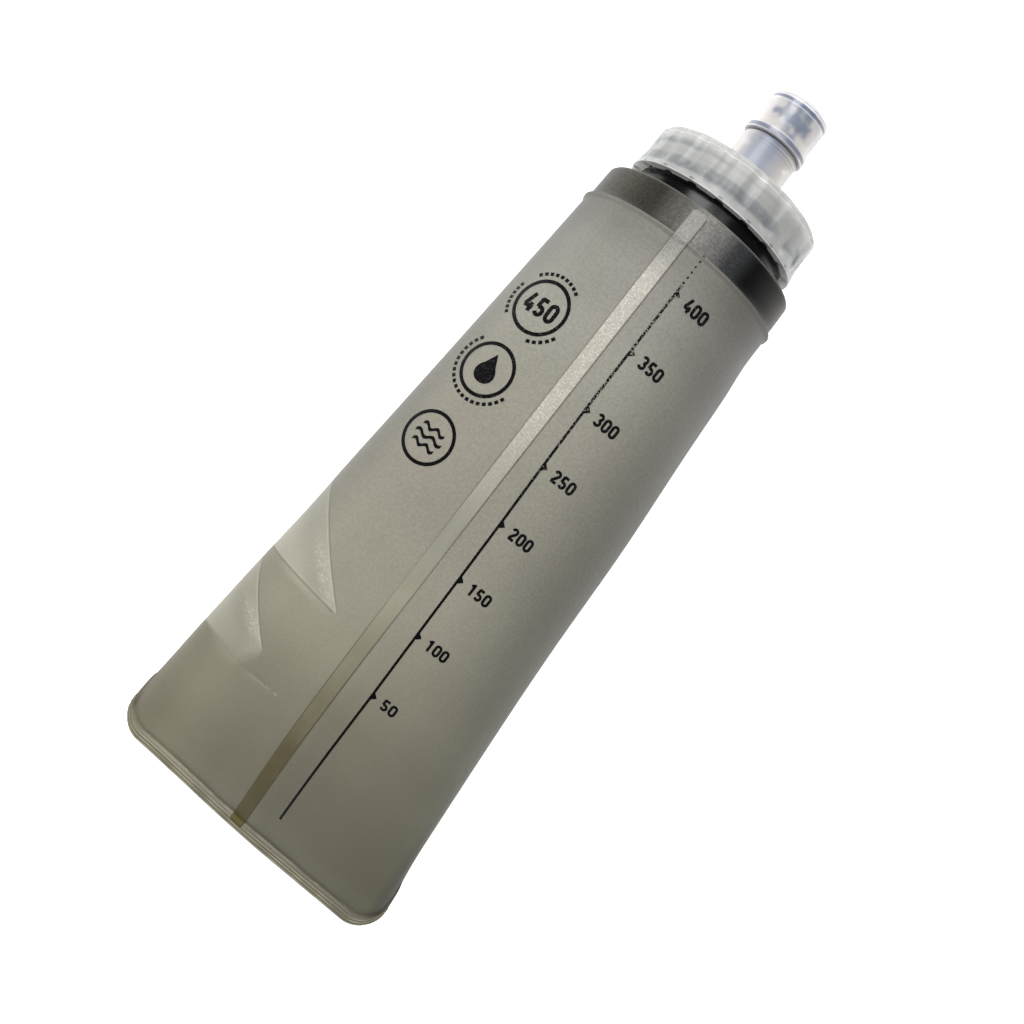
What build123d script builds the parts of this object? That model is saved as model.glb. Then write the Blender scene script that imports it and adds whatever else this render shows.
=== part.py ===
"""Folding water bottle: a soft flask with a threaded collar, a fluted cap and a push-pull mouthpiece.

Millimetres. The flask lies on its back: the bottle's axis runs along +Y to the mouthpiece, +Z is up,
and the seam tape is on top. The origin is at the bottom centre of the whole object's box.
Heights along the bottle are given as s, measured from the collar's lip towards the mouthpiece, so
that everything in the film bag has a negative s.
"""
from build123d import *
from math import cos, pi, radians, sin, sqrt
import os

# Film bag
bag_length = 208.0          # collar lip to the end of the bottom weld
tube_radius = 30.3          # outside of the film tube where it is round
film = 0.5                  # film wall
weld_length = 3.0           # flat weld across the bottom
weld_thick = 0.9
weld_inset = 0.25           # each end of the weld, inside the film's folded edge
corner_radius = 10.0        # rounded bottom corners
corner_seal = 10.0          # how far the weld closes each corner inwards
bead = 0.5                  # film ridge at the lower edge of the collar skirt
bead_length = 1.5           # from the skirt's lower edge to where the free tube begins
band_swell = 0.3            # how much the film widens over the skirt
band_chamfer = 0.3
bead_top = 0.3              # crest of the ridge above the skirt's lower edge
film_turn = 0.2             # the film's inside turns out just above the skirt's lower edge
weld_overlap = 0.6          # how far the weld runs up into the bag
cavity_reach = 0.8          # how far the cavity stops short of the bag's last section
cavity_overrun = 1.0        # how far it runs out of the open end
waist = 0.07                # how much the sides hollow between collar and weld
end_share = 0.75            # the bag's least thickness, as a share of the weld's

# Fold across the bag
fold_at = 132.0             # from the lip
fold_gap = 0.3
fold_clear = 0.25           # hinge line above the tape

# Seam tape
tape_width = 5.0
tape_offset = -1.2          # the seam lies a little to one side
tape_thick = 0.35
tape_lift = 0.02            # clearance under the tape
tape_end = 1.2              # how far short of the lip it stops
weld_grip = 0.2             # the tape's end, held back from the weld's edge

# Collar
lip_radius = 29.5           # outside of the film at the lip
skirt_length = 9.5
skirt_wall = 1.6
shoulder_thick = 2.0
skirt_chamfer = 0.5
neck_base_height = 5.6
neck_height = 14.3
neck_bore = 20.0            # radius of the filling mouth
neck_wall = 1.6
neck_base_swell = 0.6       # foot of the neck, where it meets the shoulder
neck_chamfer = 0.4
thread_run_in = 0.6         # neck base to the thread's lower flank

# Two-start thread
thread_pitch = 3.0
thread_starts = 2
thread_depth = 1.55
thread_gap = 0.45           # radial gap, crest to wall, on each side
thread_crest = 0.9
thread_root = 1.5
thread_turns = 0.9
thread_sink = 0.3           # how far the ridge's foot stands in its wall

# Cap
cap_gap = 5.0               # lip to the cap's lower rim
cap_height = 12.5
cap_wall = 1.6
cap_flare = 0.7             # the skirt is this much wider at the bottom
cap_plate = 1.8
cap_edge = 1.2              # rounding of the top edge
cap_rim = 0.4               # chamfer of the lower rim
flare_height = 5.0          # how far up the skirt the flare reaches
flutes = 18
flute_radius = 3.2
flute_depth = 0.8
flute_foot = 3.8            # centre of the flute's round foot above the lower rim
notch_width = 3.0
notch_height = 0.8
notch_depth = 0.6
gasket_width = 2.8
gasket_gap = 0.1            # each side of the gasket

# Stem, plug and O-ring
stem_radius = 8.5
stem_wall = 1.7
stem_exposed = 13.8         # cap top to the stem's shoulder
flange_radius = 11.5
flange_thick = 1.4
seat_gap = 0.05             # stem in the cap, plug in the stem
flange_gap = 0.02           # flange under the cap's plate
stem_chamfer = 0.4
piston_chamfer = 0.3
cone_top = 2.0              # the stem's bore narrows between these two depths below its shoulder
cone_bottom = 4.0
post_bore = 4.9             # bore of the stem's upper tube
inner_tube_wall = 1.9
piston_height = 3.0
o_ring_radius = 0.55
o_ring_gap = 0.05           # each side of the O-ring in its groove
plug_head_radius = 4.8
plug_head_height = 3.2
plug_post_radius = 1.8
plug_foot_radius = 3.0
plug_foot_drop = 1.0        # plug's foot below the stem's shoulder
plug_recess = 0.6           # plug's top below the mouthpiece's top
plug_neck = 1.2             # straight slim neck under the head
plug_cone = 4.0             # foot of the cone that leads to the slim neck, below the head
plug_chamfer = 0.4
plug_lip = 0.6              # undercut of the head
plug_lip_height = 1.0
rib_thick = 1.2
rib_height = 3.0
ribs = 3

# Mouthpiece
mouth_radius = 8.6
mouth_height = 13.4
mouth_flare = 0.65
mouth_wall = 1.3
mouth_roof = 1.6
mouth_edge = 2.0
mouth_lip = 1.0             # height of the inward retaining lip
mouth_chamfer = 0.3
flare_chamfer = 0.4
flare_band = 2.0            # straight part of the flared foot
flare_end = 3.9             # where the flare has run out
ceiling_chamfer = 0.5
stroke_spare = 0.2          # room left under the piston at full stroke
travel = 5.0                # push-pull stroke
slide_gap = 0.08            # mouthpiece on the piston
hole_gap = 0.06             # mouth hole round the plug's head
rest_gap = 0.3              # mouthpiece above the stem's shoulder

# Modelling aids
far = 400.0                 # larger than anything it cuts
cutter_margin = 1.0         # how far a cutter stands past what it cuts
halvings = 40               # steps of the search for the bag's thickness

# Worked-out places along the axis
cap_bottom = cap_gap
cap_top = cap_bottom + cap_height
cap_ceiling = cap_top - cap_plate
stem_shoulder = cap_top + stem_exposed
mouth_bottom = stem_shoulder + rest_gap
mouth_top = mouth_bottom + mouth_height
mouth_ceiling = mouth_top - mouth_roof
total_length = bag_length + mouth_top
y_lip = bag_length - total_length / 2
axis_height = tube_radius + bead

# Worked-out radii
flat_half_width = pi / 2 * tube_radius
skirt_radius = lip_radius - film
thread_core = neck_bore + neck_wall
thread_outer = thread_core + thread_depth
cap_inner = thread_outer + thread_gap
neck_base_radius = cap_inner - thread_gap
cap_radius = cap_inner + cap_wall
cap_hole = stem_radius + seat_gap
inner_tube = post_bore + inner_tube_wall
piston_radius = mouth_radius - mouth_wall - slide_gap
mouth_bore = mouth_radius - mouth_wall
mouth_lip_radius = inner_tube + slide_gap
mouth_hole = plug_head_radius + hole_gap
thread_lead = thread_pitch * thread_starts

axis_plane = Plane(origin=(0, y_lip, axis_height), x_dir=(1, 0, 0), z_dir=(0, 1, 0))


def turned(points):
    """A solid of revolution on the bottle's axis from (radius, s) corners."""
    profile = Plane.XZ * make_face(Polyline(*points, close=True))
    return revolve(profile, Axis.Z)


def placed(shape):
    """Move a shape modelled round the local Z axis onto the bottle's axis."""
    return axis_plane.location * shape


def half_width(t):
    """Half of the bag's width, from t=0 at the round collar end to t=1 at the flat weld."""
    return tube_radius + (flat_half_width - tube_radius) * (t - waist * sin(pi * t))


def ellipse_length(a, b):
    h = ((a - b) / (a + b)) ** 2
    return pi * (a + b) * (1 + 3 * h / (10 + sqrt(4 - 3 * h)))


def half_height(t):
    """Half of the bag's thickness: the film's girth is the same all the way down."""
    a = half_width(t)
    low = 0.0
    high = tube_radius
    for _ in range(halvings):
        middle = (low + high) / 2
        if ellipse_length(a, middle) > 2 * pi * tube_radius:
            high = middle
        else:
            low = middle
    return max(low, end_half_height)


bag_start = skirt_length + bead_length
bag_end = bag_length - weld_length
end_half_height = end_share * weld_thick / 2


def bag_t(s_down):
    return (s_down - bag_start) / (bag_end - bag_start)


def centre_height(t):
    """The bag rests on its back, a bead's height up at the collar and centred on the weld below."""
    return half_height(t) + bead * (1 - t) ** 2 + (weld_thick / 2 - end_half_height) * t ** 2


def section(t, inset, beyond=0.0):
    """One elliptical section of the bag, drawn in by the inset."""
    y = y_lip - bag_start - t * (bag_end - bag_start) - beyond
    plane = Plane(origin=(0, y, centre_height(t)), x_dir=(1, 0, 0), z_dir=(0, 1, 0))
    return plane * Ellipse(half_width(t) - inset, max(half_height(t) - inset, film / 2))


bag_stations = [0.0, 0.12, 0.24, 0.36, 0.48, 0.6, 0.7, 0.79, 0.87, 0.93, 0.97, 1.0]


def bag_body(inset):
    return loft([section(t, inset) for t in bag_stations], ruled=True)


def cavity():
    """The room inside the bag. It narrows at the end, where the weld closes the corners."""
    sections = [section(t, film) for t in bag_stations[1:-1]]
    sections.insert(0, section(0.0, film))
    sections.insert(0, section(0.0, film, beyond=-cavity_overrun))
    y_end = y_lip - bag_end + cavity_reach
    plane = Plane(origin=(0, y_end, centre_height(1.0)), x_dir=(1, 0, 0), z_dir=(0, 1, 0))
    sections.append(plane * Ellipse(flat_half_width - corner_seal, film / 2))
    return loft(sections, ruled=True)


def band():
    """The film where it wraps the collar's skirt, with the ridge at the skirt's lower edge."""
    inner = tube_radius - film
    return placed(turned([
        (skirt_radius, 0.0),
        (lip_radius - band_chamfer, 0.0),
        (lip_radius, -band_chamfer),
        (lip_radius + band_swell, bead_length - skirt_length),
        (tube_radius + bead, bead_top - skirt_length),
        (tube_radius, -bag_start),
        (inner, -bag_start),
        (inner, -skirt_length),
        (skirt_radius, film_turn - skirt_length),
    ]))


def hem():
    """The flat bottom weld."""
    depth = weld_length + weld_overlap
    middle = y_lip - bag_length + depth / 2
    width = 2 * (flat_half_width - weld_inset)
    return Pos(0, middle, weld_thick / 2) * Box(width, depth, weld_thick)


def corner_cutters():
    """What the two rounded bottom corners leave out."""
    y_end = y_lip - bag_length
    cutters = []
    for side in (-1, 1):
        x_mid = side * (flat_half_width - corner_radius)
        x_block = side * (flat_half_width + cutter_margin)
        size = 2 * (corner_radius + cutter_margin)
        block = Pos(x_block, y_end - cutter_margin, 0) * Box(size, size, far)
        keep = Pos(x_mid, y_end + corner_radius, 0) * Cylinder(corner_radius, far)
        cutters.append(block - keep)
    return cutters


def slab(s_low, s_high):
    """A block that holds everything between two places along the axis."""
    length = s_high - s_low
    return Pos(0, y_lip + (s_low + s_high) / 2, 0) * Box(far, length, far)


upper_slab = slab(-fold_at, mouth_top)
lower_slab = slab(-bag_length - weld_length, -fold_at - fold_gap)


def make_film():
    bag = bag_body(0.0) - cavity()
    upper = bag & upper_slab
    lower = (bag & lower_slab) + hem()
    for cutter in corner_cutters():
        lower = lower - cutter
    return upper + band(), lower


def tape_lane(z_low):
    """Everything above a height that lies within the tape's width."""
    return Pos(tape_offset, 0, z_low + far / 2) * Box(tape_width, far, far)


def make_seam_tape():
    """A strip welded over the film's long seam, on top of the bag and up over the collar band."""
    strip = bag_body(-tape_thick) - bag_body(-tape_lift)
    upper = strip & tape_lane(axis_height) & slab(-fold_at, -bag_start)
    lower = strip & tape_lane(weld_thick - weld_grip) & slab(weld_grip - bag_end, -fold_at - fold_gap)
    under = [
        (tube_radius, -bag_start),
        (tube_radius + bead, bead_top - skirt_length),
        (lip_radius + band_swell, bead_length - skirt_length),
        (lip_radius + tape_lift, -tape_end),
    ]
    below = [(r + tape_lift, s) for r, s in under]
    above = [(r + tape_thick, s) for r, s in reversed(under)]
    over_band = placed(turned(below + above)) & tape_lane(axis_height)
    return upper + over_band, lower


def ridge(core_radius, outwards, s_start):
    """One start of the thread: a trapezoid ridge on a wall of the given radius."""
    sign = 1 if outwards else -1
    path = Helix(pitch=thread_lead, height=thread_lead * thread_turns, radius=core_radius)
    foot = thread_root / 2
    crest = thread_crest / 2
    profile_plane = Plane(origin=path @ 0, x_dir=(sign, 0, 0), z_dir=path % 0)
    corners = [(-thread_sink, -foot), (0, -foot), (thread_depth, -crest)]
    corners += [(x, -y) for x, y in reversed(corners)]
    profile = profile_plane * make_face(Polyline(*corners, close=True))
    return Pos(0, 0, s_start) * sweep(profile, path=path, is_frenet=True)


neck_thread_start = neck_base_height + thread_root / 2 + thread_run_in
cap_thread_start = neck_thread_start + thread_pitch / 2


def make_collar():
    skirt_inner = skirt_radius - skirt_wall
    body = turned([
        (skirt_radius, skirt_chamfer - skirt_length),
        (skirt_radius, -skirt_chamfer),
        (skirt_radius - skirt_chamfer, 0.0),
        (neck_base_radius + neck_base_swell, 0.0),
        (neck_base_radius, neck_base_swell),
        (neck_base_radius, neck_base_height),
        (thread_core, neck_base_height),
        (thread_core, neck_height - neck_chamfer),
        (thread_core - neck_chamfer, neck_height),
        (neck_bore, neck_height),
        (neck_bore, -shoulder_thick),
        (skirt_inner, -shoulder_thick),
        (skirt_inner, skirt_chamfer - skirt_length),
    ])
    for start in range(thread_starts):
        turn = Rot(0, 0, 360 / thread_starts * start)
        body = body + turn * ridge(thread_core, True, neck_thread_start)
    return placed(body)


def flute():
    """The cutter for one finger groove: a round-footed channel open at the top."""
    centre = cap_radius + flute_radius - flute_depth
    foot = cap_bottom + flute_foot
    top = cap_top + cutter_margin
    channel = Pos(centre, 0, (foot + top) / 2) * Cylinder(flute_radius, top - foot)
    return channel + Pos(centre, 0, foot) * Sphere(flute_radius)


def make_cap():
    corner = cap_edge * (1 - cos(radians(45)))
    body = turned([
        (cap_inner, cap_bottom),
        (cap_radius + cap_flare - cap_rim, cap_bottom),
        (cap_radius + cap_flare, cap_bottom + cap_rim),
        (cap_radius, cap_bottom + flare_height),
        (cap_radius, cap_top - cap_edge),
        (cap_radius - corner, cap_top - corner),
        (cap_radius - cap_edge, cap_top),
        (cap_hole, cap_top),
        (cap_hole, cap_ceiling),
        (cap_inner, cap_ceiling),
    ])
    notch = Pos(cap_inner, 0, cap_bottom) * Box(2 * notch_depth, notch_width, 2 * notch_height)
    for index in range(flutes):
        body = body - Rot(0, 0, 360 / flutes * index) * flute()
        body = body - Rot(0, 0, 360 / flutes * (index + 0.5)) * notch
    for start in range(thread_starts):
        turn = Rot(0, 0, 360 / thread_starts * start)
        body = body + turn * ridge(cap_inner, False, cap_thread_start)
    return placed(body)


def make_cap_gasket():
    outer = thread_core - gasket_gap
    return placed(turned([
        (outer - gasket_width, neck_height + gasket_gap),
        (outer, neck_height + gasket_gap),
        (outer, cap_ceiling - gasket_gap),
        (outer - gasket_width, cap_ceiling - gasket_gap),
    ]))


piston_bottom = mouth_bottom + mouth_lip + travel + stroke_spare
piston_top = piston_bottom + piston_height
groove_middle = (piston_bottom + piston_top) / 2


def make_stem():
    """The drinking tube: a flange under the cap, a thick lower part and a slim upper tube."""
    groove_floor = piston_radius - 2 * o_ring_radius
    half_groove = o_ring_radius + o_ring_gap
    return placed(turned([
        (stem_radius - stem_wall, cap_ceiling - flange_thick),
        (flange_radius, cap_ceiling - flange_thick),
        (flange_radius, cap_ceiling - flange_gap),
        (stem_radius, cap_ceiling - flange_gap),
        (stem_radius, stem_shoulder - stem_chamfer),
        (stem_radius - stem_chamfer, stem_shoulder),
        (inner_tube, stem_shoulder),
        (inner_tube, piston_bottom),
        (piston_radius, piston_bottom),
        (piston_radius, groove_middle - half_groove),
        (groove_floor, groove_middle - half_groove),
        (groove_floor, groove_middle + half_groove),
        (piston_radius, groove_middle + half_groove),
        (piston_radius, piston_top - piston_chamfer),
        (piston_radius - piston_chamfer, piston_top),
        (post_bore, piston_top),
        (post_bore, stem_shoulder - cone_top),
        (stem_radius - stem_wall, stem_shoulder - cone_bottom),
    ]))


def make_stem_o_ring():
    centre = piston_radius - o_ring_radius + slide_gap / 2
    return placed(Pos(0, 0, groove_middle) * Torus(centre, o_ring_radius - flange_gap / 2))


plug_top = mouth_top - plug_recess
plug_foot = stem_shoulder - plug_foot_drop


def make_valve_plug():
    """The fixed post that shuts the mouth hole when the mouthpiece is pushed down."""
    head_bottom = plug_top - plug_head_height
    post = turned([
        (0, plug_foot),
        (plug_foot_radius, plug_foot),
        (plug_foot_radius, head_bottom - plug_cone),
        (plug_post_radius, head_bottom - plug_neck),
        (plug_post_radius, head_bottom),
        (plug_head_radius - plug_lip, head_bottom),
        (plug_head_radius, head_bottom + plug_lip_height),
        (plug_head_radius, plug_top - plug_chamfer),
        (plug_head_radius - plug_chamfer, plug_top),
        (0, plug_top),
    ])
    rib_reach = post_bore - seat_gap
    rib = Pos(rib_reach / 2, 0, plug_foot + rib_height / 2) * Box(rib_reach, rib_thick, rib_height)
    for index in range(ribs):
        arm = Rot(0, 0, 360 / ribs * (index + 0.25)) * rib
        post = post + (arm & (Pos(0, 0, plug_foot + rib_height / 2) * Cylinder(rib_reach, rib_height)))
    return placed(post)


def make_mouthpiece():
    flare = mouth_radius + mouth_flare
    corner = mouth_edge * (1 - cos(radians(45)))
    return placed(turned([
        (mouth_lip_radius, mouth_bottom + mouth_chamfer),
        (mouth_lip_radius + mouth_chamfer, mouth_bottom),
        (flare - flare_chamfer, mouth_bottom),
        (flare, mouth_bottom + flare_chamfer),
        (flare, mouth_bottom + flare_band),
        (mouth_radius, mouth_bottom + flare_end),
        (mouth_radius, mouth_top - mouth_edge),
        (mouth_radius - corner, mouth_top - corner),
        (mouth_radius - mouth_edge, mouth_top),
        (mouth_hole, mouth_top),
        (mouth_hole, mouth_ceiling),
        (mouth_bore - ceiling_chamfer, mouth_ceiling),
        (mouth_bore, mouth_ceiling - ceiling_chamfer),
        (mouth_bore, mouth_bottom + mouth_lip),
        (mouth_lip_radius, mouth_bottom + mouth_lip),
    ]))


os.makedirs("parts", exist_ok=True)
film_upper, film_lower = make_film()
seam_tape_upper, seam_tape_lower = make_seam_tape()
nodes = {
    "film_upper": film_upper,
    "film_lower": film_lower,
    "seam_tape_upper": seam_tape_upper,
    "seam_tape_lower": seam_tape_lower,
    "collar": make_collar(),
    "cap": make_cap(),
    "cap_gasket": make_cap_gasket(),
    "stem": make_stem(),
    "stem_o_ring": make_stem_o_ring(),
    "valve_plug": make_valve_plug(),
    "mouthpiece": make_mouthpiece(),
}
for name, solid in nodes.items():
    export_step(solid, os.path.join("parts", name + ".step"))

t_fold = bag_t(fold_at)
fold_height = centre_height(t_fold) + half_height(t_fold) + tape_thick + fold_clear
print("fold hinge at y", round(y_lip - fold_at - fold_gap / 2, 3), "z", round(fold_height, 3))
print("axis height", axis_height, "y_lip", round(y_lip, 3), "length", total_length)
print("thread lead", thread_lead, "mouthpiece top s", mouth_top)
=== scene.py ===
"""Looks of the folding water bottle: a smoke-grey film flask lying on its back, seam tape and printed scale
upwards, with a black threaded collar, a milky fluted cap and a clear push-pull mouthpiece.

Lengths are in millimetres and turned into metres by MM. Places along the bottle are s, measured from the
collar's lip towards the mouthpiece, or down, measured from the lip towards the bottom weld.
"""
from math import cos, pi, radians, sin, sqrt

import bpy
import numpy as np
from mathutils import Matrix, Vector


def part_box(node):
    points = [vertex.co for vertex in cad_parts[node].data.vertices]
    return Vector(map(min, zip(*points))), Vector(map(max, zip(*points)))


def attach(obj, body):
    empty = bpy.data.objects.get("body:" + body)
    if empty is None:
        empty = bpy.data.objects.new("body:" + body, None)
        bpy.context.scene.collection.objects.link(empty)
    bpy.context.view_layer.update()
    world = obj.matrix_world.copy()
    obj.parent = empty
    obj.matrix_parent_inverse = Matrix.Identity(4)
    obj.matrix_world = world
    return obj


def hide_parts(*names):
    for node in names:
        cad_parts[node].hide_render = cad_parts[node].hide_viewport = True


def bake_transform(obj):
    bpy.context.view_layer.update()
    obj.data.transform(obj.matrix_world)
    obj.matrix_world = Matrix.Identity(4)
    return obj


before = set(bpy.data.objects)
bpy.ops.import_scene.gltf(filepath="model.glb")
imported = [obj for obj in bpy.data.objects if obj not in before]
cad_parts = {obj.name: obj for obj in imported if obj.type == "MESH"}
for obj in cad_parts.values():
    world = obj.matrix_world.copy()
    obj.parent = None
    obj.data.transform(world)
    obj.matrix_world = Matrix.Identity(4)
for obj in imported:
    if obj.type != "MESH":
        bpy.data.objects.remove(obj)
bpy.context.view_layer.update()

MM = 0.001

# Places read from the frame
NECK_HEIGHT = 14.3
LIP_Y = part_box("collar")[1].y / MM - NECK_HEIGHT
AXIS_Z = (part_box("collar")[0].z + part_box("collar")[1].z) / 2 / MM
BAG_LENGTH = LIP_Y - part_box("film_lower")[0].y / MM

# Film bag
TUBE_RADIUS = 30.3
FILM = 0.45
SKIRT_LENGTH = 9.5
HELD_END = 9.2               # the film hugs the skirt down to here
PAINTED_SHEEN_WIDTH = 60.0           # the held band's painted sheen is spread over this width
BAG_START = 11.0
WELD_LENGTH = 3.0
WELD_HALF = 0.45
BAG_END = BAG_LENGTH - WELD_LENGTH
FLAT_HALF_WIDTH = pi / 2 * TUBE_RADIUS
WAIST = 0.07
BEAD = 0.5
CORNER_LEFT = 8.2
CORNER_RIGHT = 8.5
RUN_IN_SLOPE = 0.36          # how steeply the film runs down to the weld
RUN_IN_FROM = 120            # the run-in to the weld is felt from here down
RUN_IN_BLEND = 0.8           # how softly the tube passes into it
LEFT_CORNER_LIFT = 2.0       # the weld ends a little higher at its left corner
WELD_RIDGES = 3.5            # ridges pressed side by side along the weld
WELD_STRETCH = 1.0035        # the flat film's half width against the weld's own

# Seam tape
TAPE_HALF_WIDTH = 2.2
TAPE_TOP = 1.3
TAPE_ROUND = 1.4             # length over which its top end is rounded
TAPE_LIFT = 0.03
TAPE_THICK = 0.25

# Print
INK_LIFT = 0.05
INK_THICK = 0.03
STRIP_ACROSS = 0.9           # the flat print is cut into strips this narrow before it is wrapped
STRIP_DOWN = 1.5

# Collar: radii, and places along the axis from the collar's lip
SKIRT_RADIUS = 28.75
NECK_RADIUS = 23.15
NECK_BASE = 5.6
NECK_BORE = 20.0
THREAD_CORE = 21.6
THREAD_START = NECK_BASE + 1.35
THREAD_LEAD = 6.0
THREAD_TURNS = 0.9
THREAD_STEPS = 96
THREAD_SHOWS = 0.42          # how far round, in turns, the thread's shadow stands inside the cap

# Cap
CAP_BOTTOM = 5.0
CAP_TOP = 17.5
CAP_CEILING = 15.7
CAP_RADIUS = 25.2
CAP_INNER = 23.6
CAP_HOLE = 8.55
CAP_LINE = 15.85             # the fine groove below the cap's top edge
FLUTES = 18
FLUTE_RADIUS = 3.2
FLUTE_DEPTH = 0.8

# Stem and mouthpiece
STEM_BORE = 6.8
STEM_BOTTOM = 14.3
STEM_RADIUS = 8.5
STEM_SHOULDER = 31.3
STEM_FLANGE = 15.68
PISTON_BOTTOM = 37.8
PISTON_TOP = 40.8
PISTON_RADIUS = 7.22
GROOVE_BOTTOM = 38.7         # the o-ring's groove
GROOVE_TOP = 39.9
GROOVE_RADIUS = 6.12
POST_BORE = 4.9
MOUTH_BOTTOM = 31.6
MOUTH_TOP = 45.0
MOUTH_RADIUS = 8.6
LIP_ROUND = 2.0


# ---------------------------------------------------------------- film surface

def half_width(t):
    """Half the tube's width at a share t of the way from the collar to the weld."""
    return TUBE_RADIUS + (FLAT_HALF_WIDTH - TUBE_RADIUS) * (t - WAIST * np.sin(pi * t))


def girth(a, b):
    """Length round an ellipse, from its half width and half height."""
    h = ((a - b) / (a + b)) ** 2
    return pi * (a + b) * (1 + 3 * h / (10 + np.sqrt(4 - 3 * h)))


def half_height(t):
    """The film's girth stays the same from the round collar end to the flat weld."""
    a = half_width(t)
    low = np.zeros_like(a)
    high = np.full_like(a, TUBE_RADIUS)
    for _ in range(40):
        middle = (low + high) / 2
        wide = girth(a, middle) > 2 * pi * TUBE_RADIUS
        high = np.where(wide, middle, high)
        low = np.where(wide, low, middle)
    return np.maximum(low, 0.75 * WELD_HALF)


def smooth(low, high, value):
    """0 at low, 1 at high and smooth between, for numbers and arrays."""
    q = np.clip((value - low) / (high - low), 0, 1)
    return q * q * (3 - 2 * q)


def bell(value, centre, width):
    """1 at the centre, falling away on both sides of it."""
    return np.exp(-((value - centre) / width) ** 2)


# The film's radius where the collar's skirt holds it, by place below the lip
BAND_DOWN = [0.0, 0.35, 8.3, 8.9, 9.2, 9.7, 10.4, BAG_START]
BAND_RADIUS = [29.25, 29.5, 29.8, 30.1, 30.8, 30.75, 30.35, TUBE_RADIUS]


def section(down):
    """Half width, half height and centre height of the film tube at a place below the lip."""
    t = np.clip((down - BAG_START) / (BAG_END - BAG_START), 0, 1)
    a = half_width(t)
    b = half_height(t)
    on_band = down < BAG_START
    radius = np.interp(down, BAND_DOWN, BAND_RADIUS)
    run_in = 0.75 * WELD_HALF + RUN_IN_SLOPE * np.maximum(BAG_END - down, 0)
    felt = np.exp(-run_in / RUN_IN_BLEND) * (down > RUN_IN_FROM)
    b = -RUN_IN_BLEND * np.log(np.exp(-b / RUN_IN_BLEND) + felt)
    b = np.maximum(b, 0.5 * WELD_HALF)
    centre = b + BEAD * (1 - t) ** 2 + 0.25 * WELD_HALF * t ** 2
    weld = smooth(BAG_END - 1.0, BAG_END + 0.3, down)
    a = np.where(on_band, radius, a)
    b = np.where(on_band, radius, b * (1 - weld) + WELD_HALF * weld)
    centre = np.where(on_band, AXIS_Z, centre * (1 - weld) + WELD_HALF * weld)
    return a, b, centre


# Creases on the left of the bag. Each is a flat facet between an apex on the bag's side, a tip
# towards the tape and the two ends of its lower edge.
CREASES = [
    {"apex": (-38.6, 107.0), "tip": (-12.2, 135.6), "toe": (-13.0, 135.7), "foot": (-39.8, 133.9),
     "depth": 0.9, "bow": 1.15, "edge": 1.0},
    {"apex": (-40.0, 137.2), "tip": (-22.6, 157.2), "toe": (-28.0, 164.2), "foot": (-42.4, 162.8),
     "depth": 0.8, "bow": 1.25, "edge": 0.35},
]
SMALL_CREASE_DOWN = 163.2
SMALL_CREASE_SLOPE = 0.06


def crease_foot(crease, across, clamp):
    """Place below the lip of a crease's lower edge: from its foot to its toe, then on to its tip."""
    x_foot, d_foot = crease["foot"]
    x_toe, d_toe = crease["toe"]
    x_tip, d_tip = crease["tip"]
    first = clamp((across - x_foot) / (x_toe - x_foot))
    second = clamp((across - x_toe) / (x_tip - x_toe))
    return d_foot + (d_toe - d_foot) * first + (d_tip - d_toe) * second


def crease_edge(crease, down):
    """The crease's upper edge: across position at a place below the lip, and how far along it is."""
    x0, d0 = crease["apex"]
    x1, d1 = crease["tip"]
    q = np.clip((down - d0) / (d1 - d0), 0, 1)
    return x0 + (x1 - x0) * q ** crease["bow"], q


def dent(x, down):
    """How far the creases press the film in."""
    total = np.zeros_like(x)
    for crease in CREASES:
        edge, q = crease_edge(crease, down)
        inside = np.maximum(edge - x, 0)
        foot = crease_foot(crease, x, lambda value: np.clip(value, 0, 1))
        past = smooth(foot - 0.3, foot + 2.2 / crease["edge"] ** 0.5, down)
        depth = crease["depth"] * np.minimum(inside / 12, 1) * (1 - past) * (down > crease["apex"][1])
        lip = 0.16 * bell(edge - x, -0.2, 0.7) * smooth(0, 0.15, q) * smooth(1.0, 0.93, q)
        total = total + depth - lip
    small = bell(down + SMALL_CREASE_SLOPE * x, SMALL_CREASE_DOWN, 0.9)
    return total + 0.25 * small * smooth(-27, -22, x) * smooth(-12, -16, x)


def ripple(x, down):
    """Slow unevenness of the film, and small puckers where it runs into the weld."""
    slow = 0.22 * np.sin(down / 23 + 0.6) * np.cos(x / 17 + down / 60)
    slow = slow + 0.14 * np.sin(down / 11 + x / 9 + 1.3)
    puckers = 0.16 * np.sin(x / 3.1 + 1.1 * np.sin(x / 7.0)) + 0.1 * np.sin(x / 1.7 + 0.5)
    near_weld = smooth(BAG_END - 14, BAG_END - 3, down) * smooth(BAG_END + 0.2, BAG_END - 1.2, down)
    body = smooth(14, 34, down) * smooth(BAG_END - 4, BAG_END - 26, down)
    return slow * body + puckers * near_weld


def side_drift(down, side):
    """How far the bag's sides stand out of their even curves."""
    right = 0.8 * bell(down, 76, 26) - 0.5 * bell(down, 18, 7)
    left = 0.25 * bell(down, 120, 14)
    return np.where(side > 0, right, left)


def weld_lines(down):
    """Fine parallel ridges pressed along the weld."""
    q = np.clip((down - BAG_END) / WELD_LENGTH, 0, 1)
    return 0.07 * np.sin(q * 2 * pi * WELD_RIDGES) * smooth(0, 0.08, q) * smooth(1, 0.9, q)


def corner_offset(x):
    """How far the rounded corners hold the weld's end back."""
    radius = np.where(x < 0, CORNER_LEFT, CORNER_RIGHT)
    reach = np.clip(np.abs(x) - (FLAT_HALF_WIDTH - radius), 0, radius)
    return radius - np.sqrt(radius ** 2 - reach ** 2)


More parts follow.
